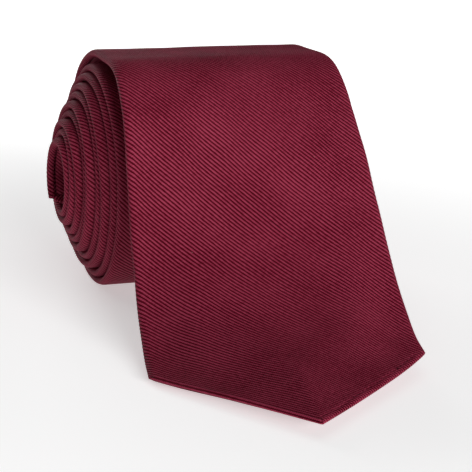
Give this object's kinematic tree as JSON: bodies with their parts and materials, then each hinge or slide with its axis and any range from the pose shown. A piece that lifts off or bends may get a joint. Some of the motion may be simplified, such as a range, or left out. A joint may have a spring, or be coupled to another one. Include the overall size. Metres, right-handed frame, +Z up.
{
  "type": "necktie",
  "caption": "Ribbed silk necktie rolled up from its narrow end, with the wide blade coming off the roll and its pointed tip lying in front.",
  "frame": {"origin": "centre of the bounding box's bottom face, on the surface that the rolled tie rests on", "axes": "X along the roll's axis, -Y towards the blade's point, +Z up"},
  "size_m": [0.0818, 0.16, 0.0718],
  "materials": {
    "burgundy_silk": "ribbed woven silk with diagonal ribs and a soft sheen",
    "wool_interlining": "brushed wool, off-white",
    "tipping_silk": "plain fine silk lining",
    "silk_thread": "twisted sewing thread",
    "woven_label": "plain satin label with nothing on it"
  },
  "bodies": {
    "roll": {"blade_silk_rolled": "burgundy_silk", "neck_silk": "burgundy_silk", "tail_silk": "burgundy_silk", "interlining_rolled": "wool_interlining", "tail_tipping": "tipping_silk", "slip_stitch_rolled": "silk_thread", "blade_neck_seam": "silk_thread", "neck_tail_seam": "silk_thread", "tail_bar_tack": "silk_thread", "keeper_loop": "burgundy_silk"},
    "blade": {"blade_silk_free": "burgundy_silk", "interlining_free": "wool_interlining", "blade_tipping_free": "tipping_silk", "slip_stitch_free": "silk_thread", "blade_bar_tack": "silk_thread"},
    "tip": {"blade_silk_tip": "burgundy_silk", "interlining_tip": "wool_interlining", "blade_tipping_tip": "tipping_silk", "blank_label": "woven_label"}
  },
  "joints": [
    {"name": "blade_lift", "type": "hinge", "parent": "roll", "child": "blade", "pos_m": [0.00493, 0.02408, 0.07094], "axis": [-1, 0, 0], "range_deg": [0, 60]},
    {"name": "tip_flex", "type": "hinge", "parent": "blade", "child": "tip", "pos_m": [0.00277, -0.036, 0.0062], "axis": [-0.986, 0.1504, -0.0718], "range_deg": [0, 50]}
  ]
}
